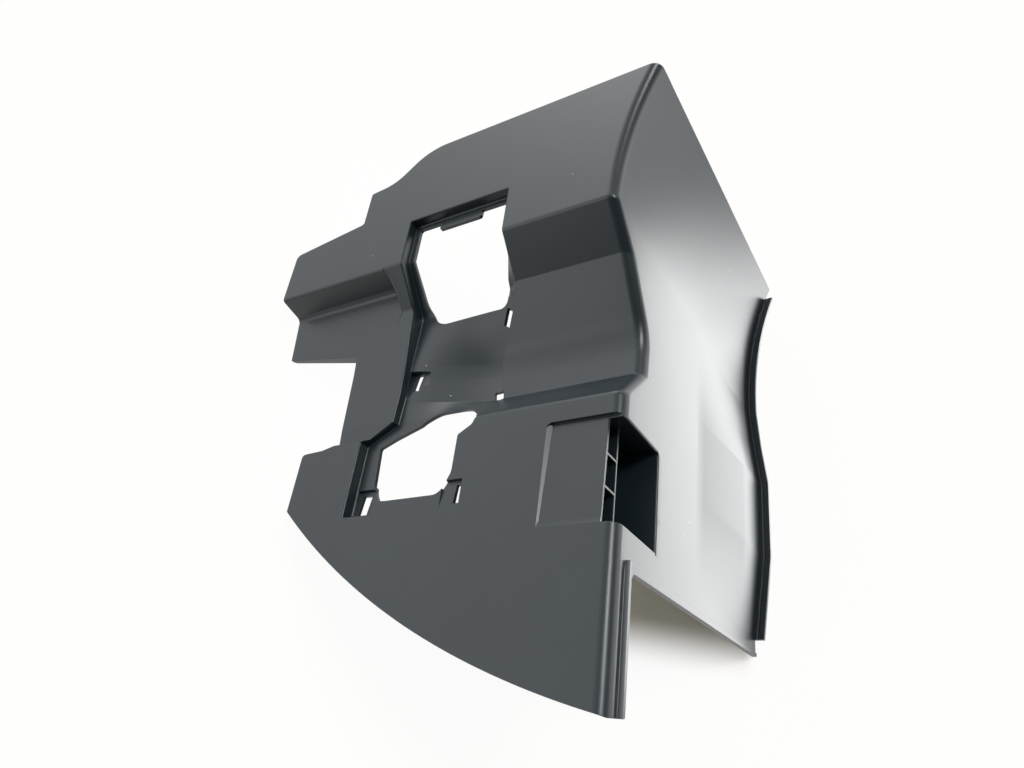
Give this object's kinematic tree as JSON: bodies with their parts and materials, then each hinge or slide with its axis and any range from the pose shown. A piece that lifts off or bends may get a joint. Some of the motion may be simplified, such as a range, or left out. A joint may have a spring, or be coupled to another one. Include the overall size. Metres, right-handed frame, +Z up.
{
  "type": "battery tray",
  "caption": "Moulded plastic battery tray shell with a stepped panel, framed windows, side pocket and a flared side wall with a lip.",
  "frame": {"origin": "centre of the shell's extent on the surface that it rests on", "axes": "+Z up as the shell rests on its left edge and on the foot of its side wall, +Y along the ridge towards the plateau's end, +X from the tab to the side wall"},
  "size_m": [0.4168, 0.4133, 0.2225],
  "materials": {
    "shell_plastic": "moulded fine grain, satin"
  },
  "bodies": {
    "root": {"shell": "shell_plastic"}
  },
  "joints": []
}
